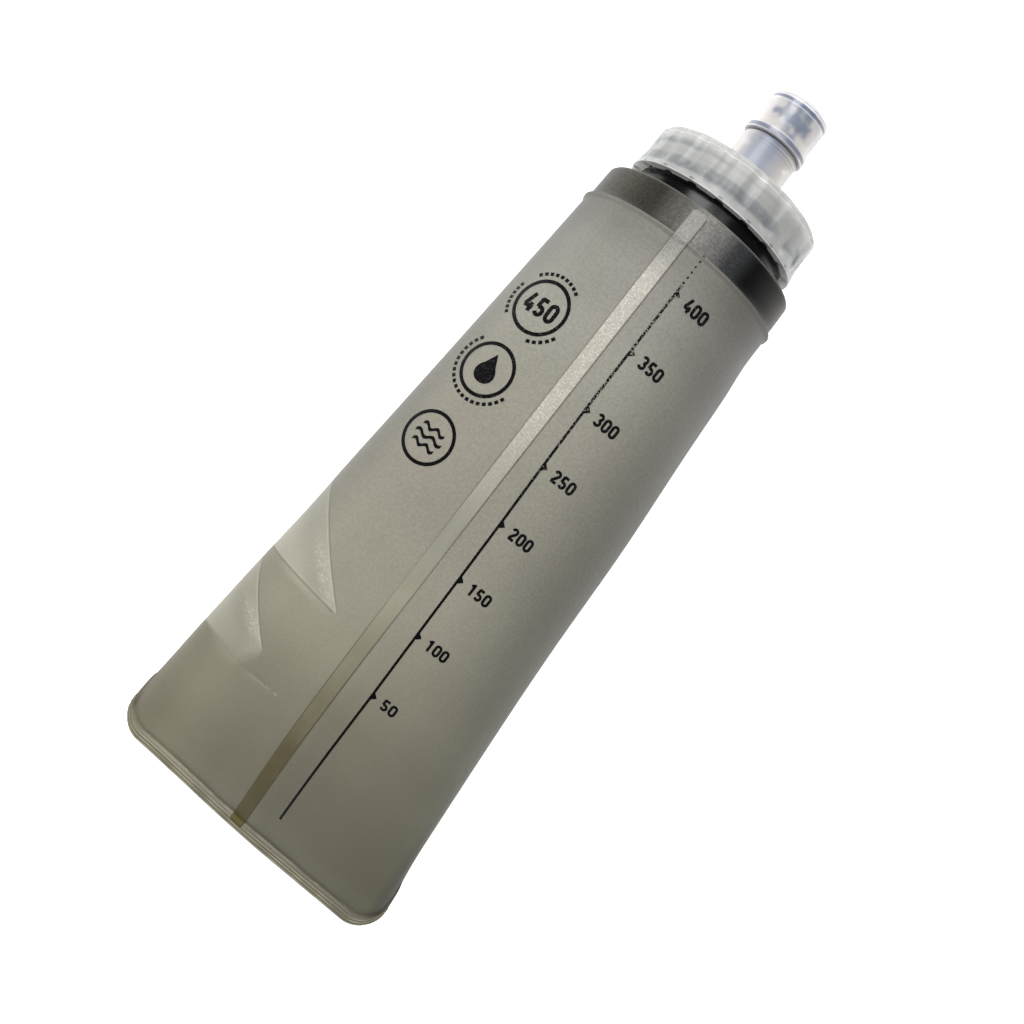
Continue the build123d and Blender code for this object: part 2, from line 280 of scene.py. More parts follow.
def drawn_in(x, down):
    """Place below the lip after the corners and the weld's slant are drawn in."""
    near = smooth(BAG_LENGTH - 34, BAG_LENGTH, down)
    x = x / section(down)[0] * FLAT_HALF_WIDTH
    slant = LEFT_CORNER_LIFT * smooth(10, -FLAT_HALF_WIDTH, x) * near
    return down - corner_offset(x) * near - slant


def top_height(x, down):
    """Height of the bag's upper side over a place across and below the lip."""
    a, b, centre = section(down)
    rise = np.sqrt(np.clip(1 - (x / a) ** 2, 0, 1))
    return centre + b * rise + (ripple(x, down) - dent(x, down)) * np.clip(rise * 1.6, 0, 1)


# ---------------------------------------------------------------- modelling helpers

def deselect():
    if bpy.context.object and bpy.context.object.mode != "OBJECT":
        bpy.ops.object.mode_set(mode="OBJECT")
    bpy.ops.object.select_all(action="DESELECT")


def work_on(piece):
    deselect()
    piece.select_set(True)
    bpy.context.view_layer.objects.active = piece


def settle(piece):
    """Put the piece's place into its mesh."""
    work_on(piece)
    bpy.ops.object.transform_apply(location=True, rotation=True, scale=True)


def smooth_shading(piece, degrees=35):
    work_on(piece)
    bpy.ops.object.shade_smooth_by_angle(angle=radians(degrees))


def apply_modifier(piece, kind, **settings):
    work_on(piece)
    modifier = piece.modifiers.new(kind.title(), kind)
    for key, value in settings.items():
        setattr(modifier, key, value)
    bpy.ops.object.modifier_apply(modifier=modifier.name)


def outward(piece):
    """Merge doubles and turn the faces outwards."""
    work_on(piece)
    bpy.ops.object.mode_set(mode="EDIT")
    bpy.ops.mesh.select_all(action="SELECT")
    bpy.ops.mesh.remove_doubles(threshold=1e-6)
    bpy.ops.mesh.normals_make_consistent(inside=False)
    bpy.ops.object.mode_set(mode="OBJECT")


def join(name, pieces):
    work_on(pieces[0])
    for piece in pieces:
        piece.select_set(True)
    bpy.ops.object.join()
    pieces[0].name = name
    return pieces[0]


def sheet_grid(name, across, along):
    """A flat grid with its vertices listed row by row."""
    deselect()
    bpy.ops.mesh.primitive_grid_add(x_subdivisions=across - 1, y_subdivisions=along - 1, size=1)
    piece = bpy.context.object
    piece.name = name
    return piece


def lay(piece, points):
    """Move every vertex of a grid to its place, in millimetres."""
    piece.data.vertices.foreach_set("co", (np.asarray(points, float) * MM).ravel())
    piece.data.update()


def on_axis(s):
    return Vector((0, (LIP_Y + s) * MM, AXIS_Z * MM))


def turned(name, rings, sides=160, bevel=0.25, closed=True):
    """A turned piece: a circle is extruded from ring to ring along the axis, then bevelled."""
    radius, s = rings[0]
    deselect()
    bpy.ops.mesh.primitive_circle_add(
        vertices=sides, radius=radius * MM, location=on_axis(s), rotation=(pi / 2, 0, 0))
    piece = bpy.context.object
    piece.name = name
    settle(piece)
    bpy.ops.object.mode_set(mode="EDIT")
    bpy.ops.mesh.select_all(action="SELECT")
    for next_radius, next_s in rings[1:]:
        bpy.ops.mesh.extrude_edges_move(
            TRANSFORM_OT_translate={"value": (0, (next_s - s) * MM, 0)})
        scale = next_radius / radius
        bpy.ops.transform.resize(value=(scale, 1, scale), center_override=on_axis(next_s))
        radius, s = next_radius, next_s
    if closed:
        bpy.ops.mesh.select_all(action="DESELECT")
        bpy.ops.mesh.select_non_manifold()
        bpy.ops.mesh.bridge_edge_loops()
    else:
        bpy.ops.mesh.select_all(action="SELECT")
    bpy.ops.object.mode_set(mode="OBJECT")
    outward(piece)
    if bevel:
        apply_modifier(piece, "BEVEL", width=bevel * MM, segments=3, limit_method="ANGLE",
                       angle_limit=radians(28), use_clamp_overlap=True)
    return piece


def thread(name, core_radius, outwards, s_start):
    """Both starts of a screw thread, swept from (depth, along) section points with tapered ends."""
    side = 1 if outwards else -1
    profile = [(-0.3, -0.75), (0.0, -0.75), (1.5, -0.42), (1.5, 0.42), (0.0, 0.75), (-0.3, 0.75)]
    ridges = []
    for start in range(2):
        ridge = sheet_grid(name, len(profile) + 1, THREAD_STEPS + 1)
        points = []
        for step in range(THREAD_STEPS + 1):
            turn = step / THREAD_STEPS
            angle = 2 * pi * THREAD_TURNS * turn + pi * start
            taper = min(1.0, 12 * turn + 0.05, 12 * (1 - turn) + 0.05)
            for depth, along in profile + profile[:1]:
                radius = core_radius + side * (depth * taper if depth > 0 else depth)
                s = s_start + THREAD_LEAD * THREAD_TURNS * turn + along
                points.append((radius * cos(angle), LIP_Y + s, AXIS_Z - radius * sin(angle)))
        lay(ridge, points)
        work_on(ridge)
        bpy.ops.object.mode_set(mode="EDIT")
        bpy.ops.mesh.select_all(action="SELECT")
        bpy.ops.mesh.remove_doubles(threshold=1e-6)
        bpy.ops.mesh.select_all(action="DESELECT")
        bpy.ops.mesh.select_non_manifold()
        bpy.ops.mesh.edge_face_add()
        bpy.ops.object.mode_set(mode="OBJECT")
        outward(ridge)
        ridges.append(ridge)
    return join(name, ridges)


# ---------------------------------------------------------------- materials

class Value:
    """A number that varies over a surface. Sums and products of values add their maths nodes."""

    def __init__(self, recipe, socket):
        self.recipe = recipe
        self.socket = socket

    def maths(self, operation, *others):
        inputs = {i: other for i, other in enumerate((self,) + others)}
        return self.recipe.value("ShaderNodeMath", {"operation": operation}, inputs)

    def reflected(self, operation, other):
        return self.recipe.value("ShaderNodeMath", {"operation": operation}, {0: other, 1: self})

    def __add__(self, other):
        return self.maths("ADD", other)

    def __sub__(self, other):
        return self.maths("SUBTRACT", other)

    def __mul__(self, other):
        return self.maths("MULTIPLY", other)

    def __truediv__(self, other):
        return self.maths("DIVIDE", other)

    def __radd__(self, other):
        return self.reflected("ADD", other)

    def __rsub__(self, other):
        return self.reflected("SUBTRACT", other)

    def __rmul__(self, other):
        return self.reflected("MULTIPLY", other)

    def power(self, other):
        return self.maths("POWER", other)

    def least(self, other):
        return self.maths("MINIMUM", other)

    def most(self, other):
        return self.maths("MAXIMUM", other)

    def size(self):
        return self.maths("ABSOLUTE")

    def step(self, low, high):
        """0 below low, 1 above high, smooth between; the other way round when low is above high."""
        rising = low < high
        inputs = {0: self, 1: min(low, high), 2: max(low, high), 3: 1 - rising, 4: int(rising)}
        return self.recipe.value("ShaderNodeMapRange", {"interpolation_type": "SMOOTHSTEP"}, inputs)

    def bump_at(self, centre, width):
        """1 at the centre, falling smoothly to 0 at the width."""
        return (self - centre).size().step(width, 0)


class Recipe:
    """One material's nodes."""

    def __init__(self, name):
        self.material = bpy.data.materials.new(name)
        self.material.use_nodes = True
        self.tree = self.material.node_tree
        self.tree.nodes.clear()

    def node(self, kind, settings=None, inputs=None):
        node = self.tree.nodes.new(kind)
        for key, value in (settings or {}).items():
            if key == "stops":
                fill_ramp(node.color_ramp, value)
            else:
                setattr(node, key, value)
        for key, value in (inputs or {}).items():
            if isinstance(value, Value):
                value = value.socket
            if isinstance(value, bpy.types.NodeSocket):
                self.tree.links.new(value, node.inputs[key])
            else:
                node.inputs[key].default_value = value
        return node

    def value(self, kind, settings=None, inputs=None, output=0):
        return Value(self, self.node(kind, settings, inputs).outputs[output])

    def places(self):
        """Across, along and up on the piece, in millimetres."""
        coordinates = self.node("ShaderNodeTexCoord").outputs["Object"]
        split = self.node("ShaderNodeSeparateXYZ", None, {0: coordinates})
        return [Value(self, split.outputs[i]) * (1 / MM) for i in range(3)]

    def on_bag(self):
        """Across the bag, and down from the lip."""
        across, along, _ = self.places()
        return across, LIP_Y - along

    def on_spout(self):
        """Across the bottle's axis, up from the floor, and along the axis from the lip."""
        across, along, up = self.places()
        return across, up, along - LIP_Y

    def noise(self, per_mm, detail=2.0, stretch=(1, 1, 1)):
        """Noise with so many lumps a millimetre, from 0 to 1."""
        coordinates = self.node("ShaderNodeTexCoord").outputs["Object"]
        mapping = self.node("ShaderNodeMapping", None, {"Vector": coordinates, "Scale": stretch})
        inputs = {"Vector": mapping.outputs[0], "Scale": per_mm / MM, "Detail": detail}
        return self.value("ShaderNodeTexNoise", None, inputs)

    def weld_place(self, across, down):
        """How far into the bottom weld a place is, following the rounded corners."""
        left = across.step(0.5, -0.5)
        radius = CORNER_RIGHT + (CORNER_LEFT - CORNER_RIGHT) * left
        reach = (across.size() * WELD_STRETCH - FLAT_HALF_WIDTH + radius).most(0.0).least(radius)
        offset = radius - (radius * radius - reach * reach).most(0.0).maths("SQRT")
        slant = LEFT_CORNER_LIFT * across.step(10, -FLAT_HALF_WIDTH)
        return down + offset + slant - BAG_END

    def mix(self, factor, first, second):
        """A colour between two colours."""
        inputs = {"Factor": factor, 6: first, 7: second}
        return self.node("ShaderNodeMix", {"data_type": "RGBA"}, inputs).outputs[2]

    def tone(self, colour, factor):
        """A colour made lighter or darker by a value."""
        grey = self.node("ShaderNodeCombineColor", None, {0: factor, 1: factor, 2: factor}).outputs[0]
        settings = {"data_type": "RGBA", "blend_type": "MULTIPLY"}
        return self.node("ShaderNodeMix", settings, {"Factor": 1.0, 6: colour, 7: grey}).outputs[2]

    def ramp(self, factor, stops):
        return self.node("ShaderNodeValToRGB", {"stops": stops}, {0: factor}).outputs[0]

    def bump(self, height, distance, strength=1.0):
        inputs = {"Height": height, "Distance": distance * MM, "Strength": strength}
        return self.node("ShaderNodeBump", None, inputs).outputs[0]

    def plastic(self, **inputs):
        """A principled shader, its inputs given with small letters and low lines."""
        named = {}
        for key, value in inputs.items():
            named[key.replace("_", " ").title().replace("Ior", "IOR")] = value
        return self.node("ShaderNodeBsdfPrincipled", None, named).outputs[0]

    def blend(self, factor, first, second):
        return self.node("ShaderNodeMixShader", None, {0: factor, 1: first, 2: second}).outputs[0]

    def finish(self, surface):
        self.node("ShaderNodeOutputMaterial", None, {"Surface": surface})
        return self.material


def fill_ramp(ramp, stops):
    ramp.interpolation = "EASE"
    while len(ramp.elements) < len(stops):
        ramp.elements.new(0.5)
    for element, (position, colour) in zip(ramp.elements, stops):
        element.position = position
        element.color = colour


def tint(red, green, blue):
    """A colour from its 0 to 255 display values."""
    return tuple((c / 255) ** 2.2 for c in (red, green, blue)) + (1.0,)


def smoke_film():
    """Frosted smoke-grey film: olive where it lies double, dark over the collar with a painted sheen there,
    pale on the creases with painted light, and painted shade towards its sides.
    """
    m = Recipe("smoke_film")
    across, down = m.on_bag()
    grain = m.noise(1.5, 1).step(0.25, 0.75)
    mottle = m.noise(0.09, 3)
    body = m.tone(film_colour(m, down), film_shade(across, down, grain, mottle))
    # painted light and shade on each crease's facet
    for crease in CREASES:
        body = creased_colour(m, body, crease, across, down)
    body = small_crease_colour(m, body, across, down)
    body = welded_colour(m, body, across, down)
    normal = m.bump(grain, 0.03, 0.5)
    free = m.plastic(base_color=body, roughness=0.46 + 0.08 * mottle, normal=normal, specular_ior_level=0.4)
    glow = m.node("ShaderNodeBsdfTranslucent", None, {"Color": tint(150, 146, 130)}).outputs[0]
    # the held band's colour with its painted sheen
    band = held_colour(m, across, down, grain)
    held = m.plastic(base_color=band, roughness=0.4 + 0.08 * mottle, normal=normal, specular_ior_level=0.12)
    on_skirt = down.step(HELD_END + 0.15, HELD_END - 0.15)
    return m.finish(m.blend(on_skirt, m.blend(0.12, free, glow), held))


def film_colour(m, down):
    """The film's colour from the collar down to the weld."""
    return m.ramp(down / BAG_LENGTH, [
        (0.05, tint(123, 120, 113)), (0.12, tint(143, 140, 132)), (0.2, tint(152, 149, 138)),
        (0.3, tint(151, 147, 135)), (0.45, tint(151, 147, 134)), (0.58, tint(158, 154, 139)),
        (0.68, tint(160, 156, 138)), (0.78, tint(145, 141, 123)),
        (0.93, tint(131, 126, 106)), (1.0, tint(142, 138, 119))])


def film_shade(across, down, grain, mottle):
    """Painted shade towards the bag's sides, along its outlines and over its lower right, painted light over
    its lower left corner, and a fine grain.
    """
    hang = TUBE_RADIUS + (FLAT_HALF_WIDTH - TUBE_RADIUS) * (down / BAG_LENGTH)
    aside = across / hang
    left = 0.56 - 0.3 * down.step(60, 170)
    right = 0.62 - 0.42 * down.step(115, 175)
    # painted shade: darker towards both sides of the bag
    sides = 1 - aside.step(0.2, 1.1) * right - aside.step(-0.62, -1.0) * left
    # painted shade along the bag's outline on both sides
    painted_outline_shade = (1 - 0.3 * aside.step(-0.96, -1.0)) * (1 - 0.45 * aside.step(0.9, 1.0))
    # painted shade over the lower right, and painted light over the lower left
    painted_lower_right_shade = 1 - 0.16 * aside.step(-0.05, 0.1) * down.step(115, 150)
    painted_lower_left_light = 1 + 0.38 * aside.step(-0.3, -0.8) * down.step(158, 182)
    fine = grain * (0.06 + 0.12 * down.step(170, 80))
    return (0.86 + 0.12 * mottle + fine) * sides * painted_outline_shade * painted_lower_right_shade * painted_lower_left_light


def creased_colour(m, body, crease, across, down):
    """A crease's facet made pale by painted light, a painted highlight along the rim inside it, and dark
    lines of painted shade along its upper edge and foot.
    """
    q, inside, above = crease_places(crease, across, down)
    facet = crease_mask(crease, across, down)
    # painted light: the facet is lightened, more towards its inner side and near its tip
    pale = 0.2 + 0.2 * inside.step(6, 18) + 0.22 * inside.step(7, 0.5) * q.bump_at(0.82, 0.4)
    body = m.mix(facet * pale, body, tint(214, 211, 194))
    body = m.mix(crease_rim(m, q, inside, facet), body, tint(222, 219, 203))
    # painted shade along the crease's upper edge and its foot
    painted_edge_shade = inside.bump_at(-0.3, 0.4) * q.step(0.0, 0.1) * q.step(1.0, 0.9)
    painted_foot_shade = above.bump_at(-0.25, 0.4) * inside.step(0.5, 2.0) * crease["edge"]
    return m.mix((painted_edge_shade + painted_foot_shade).least(1.0) * 0.4, body, tint(88, 84, 70))


def small_crease_colour(m, body, across, down):
    """The short broken painted highlight along the small crease below the others."""
    line = (down + SMALL_CREASE_SLOPE * across - SMALL_CREASE_DOWN).bump_at(0.3, 0.55)
    stretch = across.step(-26, -15) * across.step(-12, -13)
    broken = m.noise(0.5, 2).step(0.35, 0.6)
    # painted highlight along the small crease
    return m.mix(line * stretch * broken * 0.5, body, tint(206, 202, 184))


def welded_colour(m, body, across, down):
    """Lines pressed along the weld, small painted glints above it, and painted shade where the film runs
    into it.
    """
    into_weld = m.weld_place(across, down)
    wander = into_weld + 0.5 * (m.noise(0.06, 2) - 0.5)
    stripes = (wander * (2 * pi * WELD_RIDGES / WELD_LENGTH)).maths("SINE") * 0.5 + 0.5
    broken = 0.35 + 0.6 * m.noise(0.12, 2).step(0.35, 0.65)
    lines = m.mix(stripes * broken, tint(92, 87, 68), tint(180, 174, 152))
    body = m.mix(into_weld.step(0.5, 1.4) * 0.8, body, lines)
    # painted glints just above the weld
    painted_glints = m.noise(0.5, 3).step(0.5, 0.66) * into_weld.bump_at(-0.35, 0.5)
    body = m.mix(painted_glints * 0.3, body, tint(190, 186, 166))
    # painted shade: darker where the film runs into the weld
    return m.tone(body, 1 - 0.2 * into_weld.bump_at(-0.6, 1.6))


def held_colour(m, across, down, grain):
    """The band that lies on the black skirt: nearly black, with a soft painted sheen across it and a pale
    painted highlight at its lip.
    """
    # painted sheen and painted shade across the band, over its nearly black colour
    band = m.ramp(across / PAINTED_SHEEN_WIDTH + 0.5, [
        (0.0, tint(66, 64, 58)), (0.12, tint(72, 69, 62)), (0.3, tint(50, 49, 44)), (0.4, tint(76, 75, 70)),
        (0.52, tint(124, 122, 117)), (0.6, tint(104, 103, 100)), (0.7, tint(54, 55, 56)),
        (0.8, tint(4, 4, 4)), (0.9, tint(16, 13, 8)), (1.0, tint(50, 45, 33))])
    # painted highlight along the lip
    painted_lip_highlight = down.bump_at(0.3, 0.3)
    return m.mix(painted_lip_highlight * 0.5, m.tone(band, 0.72 + 0.42 * grain), tint(110, 108, 102))


def crease_places(crease, across, down):
    """How far along a crease's upper edge a place is, how far inside it, and how far above its foot."""
    x0, d0 = crease["apex"]
    x1, d1 = crease["tip"]
    q = ((down - d0) / (d1 - d0)).most(0.0).least(1.0)
    inside = x0 + (x1 - x0) * q.power(crease["bow"]) - across
    above = crease_foot(crease, across, lambda value: value.most(0.0).least(1.0)) - down
    return q, inside, above


def crease_mask(crease, across, down):
    """1 on the flat facet of a crease, 0 outside it."""
    _, inside, above = crease_places(crease, across, down)
    start = crease["apex"][1]
    x_foot, x_toe = crease["foot"][0], crease["toe"][0]
    from_foot = ((across - x_foot) * (1 / (x_toe - x_foot))).most(0.0).least(1.0)
    soft = 0.4 + 5.0 * (1 - crease["edge"]) * from_foot
    return inside.step(-0.15, 0.6) * (above / soft).step(-1, 1) * down.step(start, start + 0.5)


def crease_rim(m, q, inside, facet):
    """A thin painted highlight just inside a crease's upper edge, and broken painted sparkle near its tip.
    """
    line = inside.bump_at(0.4, 0.7) * q.step(0.02, 0.5) * q.step(1.0, 0.97) * 0.26
    painted_sparkle = m.noise(1.3, 3).step(0.44, 0.66)
    near_tip = q.bump_at(0.78, 0.3) * inside.bump_at(3.4, 5.0)
    return (line + painted_sparkle * near_tip * 0.6 * facet).least(1.0)


def seam_tape_film():
    """Heat-sealed tape: pale at the top with painted sparkle and glints there, olive at the bottom, with
    darker edge lines.
    """
    m = Recipe("seam_tape_film")
    across, down = m.on_bag()
    grain = m.noise(3.0, 3)
    streak = m.noise(0.35, 3, (1, 0.12, 1))
    colour = m.ramp(down / BAG_LENGTH, [
        (0.02, tint(128, 126, 122)), (0.05, tint(134, 132, 127)), (0.11, tint(180, 176, 166)),
        (0.30, tint(178, 174, 162)), (0.40, tint(165, 161, 149)), (0.48, tint(148, 146, 132)),
        (0.58, tint(157, 153, 136)), (0.68, tint(138, 135, 115)), (0.77, tint(124, 119, 97)),
        (0.86, tint(98, 90, 62)), (0.94, tint(88, 80, 44)), (1.0, tint(92, 84, 50))])
    # painted sparkle and painted glints over the tape's upper half
    painted_sparkle = down.step(105, 60)
    painted_glint = m.noise(1.7, 3).step(0.48, 0.64) * painted_sparkle
    colour = m.tone(colour, 0.84 + 0.24 * streak + painted_sparkle * (grain - 0.5) * 0.8 + 0.26 * painted_glint)
    centre = tape_centre(down)
    edge = (across - centre).size().step(TAPE_HALF_WIDTH - 0.35, TAPE_HALF_WIDTH - 0.1)
    colour = m.mix(edge * (0.75 - 0.5 * down.bump_at(112, 32)), colour, tint(84, 80, 66))
    rough = 0.34 + 0.2 * grain
    normal = m.bump(grain + streak, 0.05, 0.6)
    return m.finish(m.plastic(base_color=colour, roughness=rough, normal=normal, specular_ior_level=0.22))


def tape_centre(down):
    """The tape wanders slightly to the left on its way down."""
    return -1.1 - (down - 40) * 0.0042


def ink():
    """Screen-printed black, worn a little along the upper half of the scale's line."""
    m = Recipe("scale_ink")
    across, down = m.on_bag()
    line = across.step(LINE_RIGHT + 1, LINE_RIGHT) * across.step(LINE_LEFT - 2, LINE_LEFT)
    top = down.step(95, 14) * line
    wear = (m.noise(2.0, 3) + 0.1 * top).step(0.6, 0.67) * down.step(105, 50) * (0.25 + 0.75 * line)
    colour = m.mix(wear, tint(8, 8, 12), tint(128, 124, 116))
    rough = 0.5 + 0.2 * m.noise(3, 2)
    return m.finish(m.plastic(base_color=colour, roughness=rough, specular_ior_level=0.12))


def black_moulding():
    """Glossy black soft plastic with a faint moulded unevenness."""
    m = Recipe("black_moulding")
    lumps = m.noise(0.35, 3)
    grain = m.noise(2.5, 2)
    colour = m.mix(lumps, tint(3, 3, 3), tint(10, 9, 8))
    rough = 0.12 + 0.14 * lumps + 0.06 * grain
    normal = m.bump(lumps + 0.2 * grain, 0.05, 0.4)
    return m.finish(m.plastic(base_color=colour, roughness=rough, normal=normal, specular_ior_level=0.2))


def see_through(m, surface, clear):
    """The share that is clear lets what is behind show."""
    glass = m.node("ShaderNodeBsdfTransparent", None, {"Color": (1, 1, 1, 1)}).outputs[0]
    return m.blend(clear, surface, glass)


def milky_plastic():
    """Milky cap moulding: clouded, the black thread inside it showing as soft bands, painted highlights on
    its lower rim and top groove, and painted shade in its notches.
    """
    m = Recipe("milky_plastic")
    across, up, s = m.on_spout()
    cloud = m.noise(0.25, 3)
    grain = m.noise(2.6, 2)
    streak = m.noise(0.5, 2, (1, 0.12, 1))
    angle = ((AXIS_Z - up).maths("ARCTAN2", across)) * (1 / (2 * pi))
    wander = 0.25 * (m.noise(0.06, 2) - 0.5)
    phase = (s - THREAD_START) / THREAD_LEAD - angle + THREAD_SHOWS + wander
    ridge = ((phase * (2 * pi)).maths("COSINE") * 0.5 + 0.5).step(0.2, 0.8)
    over_thread = s.step(5.6, 7.0) * s.step(14.8, 13.0)
    band = ridge * over_thread * m.noise(0.1, 2).step(0.3, 0.55)
    colour = m.mix(cloud, tint(190, 191, 189), tint(212, 212, 208))
    colour = m.mix(over_thread * 0.14 + band * 0.56, colour, tint(138, 144, 152))
    colour = m.mix(streak.step(0.5, 0.7) * over_thread * 0.5, colour, tint(228, 229, 226))
    # painted highlights along the lower rim and the groove under the top edge
    rim = s.step(CAP_BOTTOM + 0.5, CAP_BOTTOM + 0.25) + s.bump_at(CAP_LINE, 0.3)
    colour = m.mix(rim.least(1.0) * 0.8, colour, tint(236, 238, 236))
    # painted shade in the notches between the flutes
    between_flutes = (angle * (2 * pi * FLUTES)).maths("COSINE").step(-0.86, -0.94)
    painted_notch_shade = between_flutes * s.bump_at(CAP_BOTTOM + 0.55, 0.4)
    colour = m.mix(painted_notch_shade * 0.85, colour, tint(34, 34, 34))
    rough = 0.24 + 0.14 * cloud
    normal = m.bump(cloud + 0.1 * grain, 0.1, 0.4)
    body = m.plastic(base_color=colour, roughness=rough, normal=normal)
    glow = m.node("ShaderNodeBsdfTranslucent", None, {"Color": tint(208, 208, 204)}).outputs[0]
    facing = m.value("ShaderNodeLayerWeight", None, {"Blend": 0.45}, 1)
    clear = (0.28 + 0.16 * cloud + 0.03 * over_thread + 0.2 * band - 0.3 * rim - 0.35 * facing).most(0.05)
    return m.finish(see_through(m, m.blend(0.3, body, glow), clear))


def clear_plastic(m, colour, share, rough):
    """Clear plastic with a soft haze, less clear where it is seen edge on, where a darker plastic is mixed
    in as painted shade.

    The share is how much of what is behind shows where the plastic is seen face on.
    """
    haze = m.noise(0.3, 3)
    normal = m.bump(haze, 0.08, 0.4)
    body = m.plastic(base_color=colour, roughness=rough + 0.12 * haze, normal=normal, coat_weight=0.12)
    # painted shade: a darker plastic mixed in where the surface is seen edge on
    edge = m.plastic(base_color=tint(128, 131, 138), roughness=0.3)
    rim = m.value("ShaderNodeLayerWeight", None, {"Blend": 0.4}, 1)
    body = m.blend(rim.step(0.45, 0.95) * 0.75, body, edge)
    return m.finish(see_through(m, body, (share - 0.5 * rim).most(0.05)))


def clear_stem():
    """Clear tube with painted blue-grey shade along its core, long streaks, and fine rings of painted shadow
    below the mouthpiece.
    """
    m = Recipe("clear_stem")
    across, _, s = m.on_spout()
    streak = m.noise(0.5, 2, (1, 0.1, 1))
    # painted shade: a blue-grey core where the bore shows through the wall
    painted_core_shade = (across + 0.6 + 3 * (streak - 0.5)).size().step(7.8, 1.5)
    colour = m.mix(painted_core_shade * 0.9, tint(214, 208, 202), tint(140, 147, 166))
    # painted shadow: dark rings on the stem below the mouthpiece's foot
    shoulder = s - STEM_SHOULDER
    rings = shoulder.bump_at(-0.6, 0.4) + 0.7 * shoulder.bump_at(-1.7, 0.3)
    rings = rings + 0.5 * shoulder.bump_at(-2.6, 0.25)
    colour = m.mix(rings.least(1.0) * 0.55 * across.step(-9, 3), colour, tint(78, 87, 112))
    return clear_plastic(m, colour, 0.5 - 0.1 * painted_core_shade, 0.3)


def clear_sleeve():
    """Clear mouthpiece: warm haze, a cloudy blue-grey blot of painted shade, and rings of painted shade and
    painted highlight at its top and foot.
    """
    m = Recipe("clear_sleeve")
    across, _, s = m.on_spout()
    lump = m.noise(0.3, 1)
    off_centre = (((across - 0.6) / 4.6).power(2) + ((s - 38.4) / 4.6).power(2)).maths("SQRT")
    # painted shade: a cloudy blue-grey blot where the inside shows through
    painted_blot_shade = (off_centre + (lump - 0.5) * 2.4).step(1.4, 0.4)
    colour = m.mix(painted_blot_shade * 0.9, tint(214, 209, 206), tint(116, 127, 148))
    foot = s - MOUTH_BOTTOM
    top = s - MOUTH_TOP
    # painted shade: dark rings near the top and the foot
    painted_upper_ring_shade = top.step(-3.15, -2.95) * top.step(-2.15, -2.3)
    painted_foot_ring_shade = foot.step(0.4, 0.55) * foot.step(1.6, 1.45)
    rings = painted_upper_ring_shade + painted_foot_ring_shade + 0.6 * foot.bump_at(0.02, 0.1) + 0.5 * top.bump_at(-1.6, 0.18)
    colour = m.mix(rings.least(1.0) * 0.85, colour, tint(84, 94, 120))
    # painted highlights: pale rings at the foot and the top
    pale = foot.bump_at(0.25, 0.2) + foot.bump_at(1.9, 0.3) + top.bump_at(-3.4, 0.3)
    pale = pale + top.bump_at(-1.95, 0.2) + top.step(-1.5, -1.3)
    colour = m.mix(pale.least(1.0) * 0.7, colour, tint(232, 233, 236))
    return clear_plastic(m, colour, 0.5 - 0.35 * rings.least(1.0) - 0.1 * painted_blot_shade, 0.2)


def rubber(name, colour, pale):
    """Dull rubber, speckled between two near colours."""
    m = Recipe(name)
    grain = m.noise(1.8, 3)
    shade = m.mix(grain, colour, pale)
    normal = m.bump(grain, 0.05, 0.5)
    return m.finish(m.plastic(base_color=shade, roughness=0.4 + 0.2 * grain, normal=normal))


def studio_floor():
    """White sweep, lit through so that it stays nearly free of shadow."""
    m = Recipe("studio_floor")
    soft = m.noise(0.004, 2)
    colour = m.mix(soft, (0.88, 0.88, 0.88, 1), (0.92, 0.92, 0.92, 1))
    return m.finish(m.plastic(base_color=colour, roughness=0.9, emission_color=(1, 1, 1, 1),
                              emission_strength=0.85))


def dress(piece, material):
    piece.data.materials.clear()
    piece.data.materials.append(material)


# ---------------------------------------------------------------- film bag

def half_girth_places():
    """Places along the film's top and back halves, from side to side, closer together at the corners."""
    turn = np.linspace(0, pi / 2, 13)
    side = CORNER_RIGHT * (1 - np.cos(turn))
    other = 2 * FLAT_HALF_WIDTH - side[::-1]
    halves = []
    for columns in (91, 51):
        middle = np.linspace(side[-1], other[0], columns)[1:-1]
        halves.append(np.concatenate([side, middle, other]) / (2 * FLAT_HALF_WIDTH))
    return halves


def ellipse_angles(a, b, shares):
    """Angles of an ellipse's upper half, right to left, at shares of its length."""
    angles = np.linspace(0, pi, 721)
    steps = np.hypot(np.diff(a * np.cos(angles)), np.diff(b * np.sin(angles)))
    length = np.concatenate([[0], np.cumsum(steps)])
    return np.interp(shares * length[-1], length, angles)


def film_rows():
    """Places below the lip for the film's rows, closest together on the band, creases and weld."""
    band = [0.0, 0.12, 0.35, 1.2, 3.0, 5.0, 7.0, 8.3, 8.6, 8.9, 9.05, 9.2, 9.4, 9.7, 10.0, 10.4, 10.7, 11.0]
    body = np.linspace(11.0, 104.0, 84)[1:]
    creased = np.linspace(104.0, 166.0, 82)[1:]
    lower = np.linspace(166.0, BAG_END - 8, 28)[1:]
    run_in = np.linspace(BAG_END - 8, BAG_END - 0.6, 12)[1:]
    weld = np.linspace(BAG_END - 0.6, BAG_LENGTH, 25)[1:]
    return np.concatenate([band, body, creased, lower, run_in, weld])


